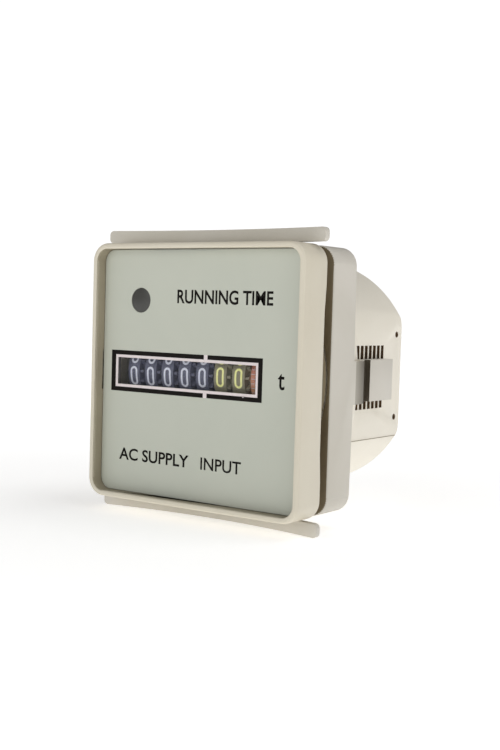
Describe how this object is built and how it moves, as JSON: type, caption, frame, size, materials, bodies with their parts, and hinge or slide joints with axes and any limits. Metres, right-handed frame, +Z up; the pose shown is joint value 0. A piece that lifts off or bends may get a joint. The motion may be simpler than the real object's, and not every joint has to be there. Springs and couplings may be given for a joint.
{
  "type": "panel-mount hour meter",
  "caption": "Square-fronted panel hour meter with digit wheels behind a window, a round body, a sliding ratchet clamp with spring bars, and rear tabs.",
  "frame": {"origin": "centre of the bezel's rear face, in the plane where the panel's front face lies", "axes": "+X to the right seen from the front, +Y into the panel along the body's axis, +Z up"},
  "size_m": [0.0532, 0.0552, 0.058],
  "materials": {
    "bezel_plastic": "warm ivory moulded plastic, satin",
    "body_plastic": "light cream moulded plastic, satin",
    "clamp_plastic": "grey-beige moulded plastic, satin",
    "dial_face": "grey-green printed plate, satin",
    "clear_lens": "clear moulded pane",
    "dark_lens": "smoked translucent lens",
    "frame_plastic": "black moulded plastic",
    "wheel_dark": "dark violet-grey number wheels",
    "wheel_red": "orange-red fraction wheel",
    "gear_plastic": "natural acetal gears",
    "shaft_steel": "ground steel",
    "zinc_steel": "bright zinc plated steel",
    "winding_copper": "enamelled copper winding",
    "magnet_black": "ferrite magnet",
    "board_paper": "phenolic circuit board",
    "capacitor_yellow": "moulded film capacitor",
    "resistor_body": "lacquered resistor",
    "lamp_glass": "small glow lamp",
    "terminal_brass": "bright brass tab"
  },
  "bodies": {
    "housing": {"front_bezel": "bezel_plastic", "body_shell": "body_plastic", "rear_cover": "body_plastic", "dial_plate": "dial_face", "window_lens": "clear_lens", "indicator_lens": "dark_lens", "counter_frame": "frame_plastic", "outer_gear_plate": "zinc_steel", "number_shaft": "shaft_steel", "transfer_shaft": "shaft_steel", "motor_case": "zinc_steel", "coil_bobbin": "frame_plastic", "coil_winding": "winding_copper", "stator_claws": "zinc_steel", "coil_pins": "terminal_brass", "circuit_board": "board_paper", "dropper_capacitor": "capacitor_yellow", "dropper_resistor": "resistor_body", "running_lamp": "lamp_glass", "lamp_holder": "body_plastic", "lamp_leads": "shaft_steel", "terminal_left": "terminal_brass", "terminal_right": "terminal_brass", "frame_screw_top": "zinc_steel", "frame_screw_bottom": "zinc_steel", "plate_screws": "zinc_steel"},
    "clamp": {"clamp_frame": "clamp_plastic"},
    "fraction_wheel": {"number_wheel_8": "wheel_red", "fraction_gear": "gear_plastic"},
    "slow_gear": {"slow_reduction_gear": "gear_plastic"},
    "fast_gear": {"fast_reduction_gear": "gear_plastic"},
    "rotor": {"rotor_magnet": "magnet_black", "rotor_shaft": "shaft_steel"},
    "wheel_1": {"number_wheel_1": "wheel_dark"},
    "pinion_1": {"transfer_pinion_1": "gear_plastic"},
    "wheel_2": {"number_wheel_2": "wheel_dark"},
    "pinion_2": {"transfer_pinion_2": "gear_plastic"},
    "wheel_3": {"number_wheel_3": "wheel_dark"},
    "pinion_3": {"transfer_pinion_3": "gear_plastic"},
    "wheel_4": {"number_wheel_4": "wheel_dark"},
    "pinion_4": {"transfer_pinion_4": "gear_plastic"},
    "wheel_5": {"number_wheel_5": "wheel_dark"},
    "pinion_5": {"transfer_pinion_5": "gear_plastic"},
    "wheel_6": {"number_wheel_6": "wheel_dark"},
    "pinion_6": {"transfer_pinion_6": "gear_plastic"},
    "wheel_7": {"number_wheel_7": "wheel_dark"},
    "pinion_7": {"transfer_pinion_7": "gear_plastic"}
  },
  "joints": [
    {"name": "clamp_slide", "type": "slide", "parent": "housing", "child": "clamp", "axis": [0, 1, 0], "range_m": [-0.0009, 0.0096]},
    {"name": "fraction_wheel_spin", "type": "hinge", "parent": "housing", "child": "fraction_wheel", "pos_m": [0, 0.0045, 0], "axis": [1, 0, 0], "continuous": true},
    {"name": "wheel_7_spin", "type": "hinge", "parent": "housing", "child": "wheel_7", "pos_m": [0, 0.0045, 0], "axis": [1, 0, 0], "continuous": true},
    {"name": "pinion_7_spin", "type": "hinge", "parent": "housing", "child": "pinion_7", "pos_m": [0, 0.01351, 0], "axis": [1, 0, 0], "continuous": true},
    {"name": "wheel_6_spin", "type": "hinge", "parent": "housing", "child": "wheel_6", "pos_m": [0, 0.0045, 0], "axis": [1, 0, 0], "continuous": true},
    {"name": "pinion_6_spin", "type": "hinge", "parent": "housing", "child": "pinion_6", "pos_m": [0, 0.01351, 0], "axis": [1, 0, 0], "continuous": true},
    {"name": "wheel_5_spin", "type": "hinge", "parent": "housing", "child": "wheel_5", "pos_m": [0, 0.0045, 0], "axis": [1, 0, 0], "continuous": true},
    {"name": "pinion_5_spin", "type": "hinge", "parent": "housing", "child": "pinion_5", "pos_m": [0, 0.01351, 0], "axis": [1, 0, 0], "continuous": true},
    {"name": "wheel_4_spin", "type": "hinge", "parent": "housing", "child": "wheel_4", "pos_m": [0, 0.0045, 0], "axis": [1, 0, 0], "continuous": true},
    {"name": "pinion_4_spin", "type": "hinge", "parent": "housing", "child": "pinion_4", "pos_m": [0, 0.01351, 0], "axis": [1, 0, 0], "continuous": true},
    {"name": "wheel_3_spin", "type": "hinge", "parent": "housing", "child": "wheel_3", "pos_m": [0, 0.0045, 0], "axis": [1, 0, 0], "continuous": true},
    {"name": "pinion_3_spin", "type": "hinge", "parent": "housing", "child": "pinion_3", "pos_m": [0, 0.01351, 0], "axis": [1, 0, 0], "continuous": true},
    {"name": "wheel_2_spin", "type": "hinge", "parent": "housing", "child": "wheel_2", "pos_m": [0, 0.0045, 0], "axis": [1, 0, 0], "continuous": true},
    {"name": "pinion_2_spin", "type": "hinge", "parent": "housing", "child": "pinion_2", "pos_m": [0, 0.01351, 0], "axis": [1, 0, 0], "continuous": true},
    {"name": "wheel_1_spin", "type": "hinge", "parent": "housing", "child": "wheel_1", "pos_m": [0, 0.0045, 0], "axis": [1, 0, 0], "continuous": true},
    {"name": "pinion_1_spin", "type": "hinge", "parent": "housing", "child": "pinion_1", "pos_m": [0, 0.01351, 0], "axis": [1, 0, 0], "continuous": true},
    {"name": "slow_gear_spin", "type": "hinge", "parent": "housing", "child": "slow_gear", "pos_m": [0, 0.01165, 0.00333], "axis": [1, 0, 0], "continuous": true},
    {"name": "fast_gear_spin", "type": "hinge", "parent": "housing", "child": "fast_gear", "pos_m": [0, 0.01908, -0.00069], "axis": [1, 0, 0], "continuous": true},
    {"name": "rotor_spin", "type": "hinge", "parent": "housing", "child": "rotor", "pos_m": [0, 0.0275, 0], "axis": [1, 0, 0], "continuous": true}
  ],
  "couplings": [
    {"joint": "wheel_7_spin", "follows": "fraction_wheel_spin", "ratio": 0.1},
    {"joint": "pinion_7_spin", "follows": "fraction_wheel_spin", "ratio": -0.25},
    {"joint": "wheel_6_spin", "follows": "fraction_wheel_spin", "ratio": 0.01},
    {"joint": "pinion_6_spin", "follows": "fraction_wheel_spin", "ratio": -0.025},
    {"joint": "wheel_5_spin", "follows": "fraction_wheel_spin", "ratio": 0.001},
    {"joint": "pinion_5_spin", "follows": "fraction_wheel_spin", "ratio": -0.0025},
    {"joint": "wheel_4_spin", "follows": "fraction_wheel_spin", "ratio": 0.0001},
    {"joint": "pinion_4_spin", "follows": "fraction_wheel_spin", "ratio": -0.00025},
    {"joint": "wheel_3_spin", "follows": "fraction_wheel_spin", "ratio": 0.00001},
    {"joint": "pinion_3_spin", "follows": "fraction_wheel_spin", "ratio": -0.000025},
    {"joint": "wheel_2_spin", "follows": "fraction_wheel_spin", "ratio": 0.000001},
    {"joint": "pinion_2_spin", "follows": "fraction_wheel_spin", "ratio": -0.0000025},
    {"joint": "wheel_1_spin", "follows": "fraction_wheel_spin", "ratio": 0.0000001},
    {"joint": "pinion_1_spin", "follows": "fraction_wheel_spin", "ratio": -0.00000025},
    {"joint": "slow_gear_spin", "follows": "fraction_wheel_spin", "ratio": -6},
    {"joint": "fast_gear_spin", "follows": "fraction_wheel_spin", "ratio": 30},
    {"joint": "rotor_spin", "follows": "fraction_wheel_spin", "ratio": -150}
  ]
}
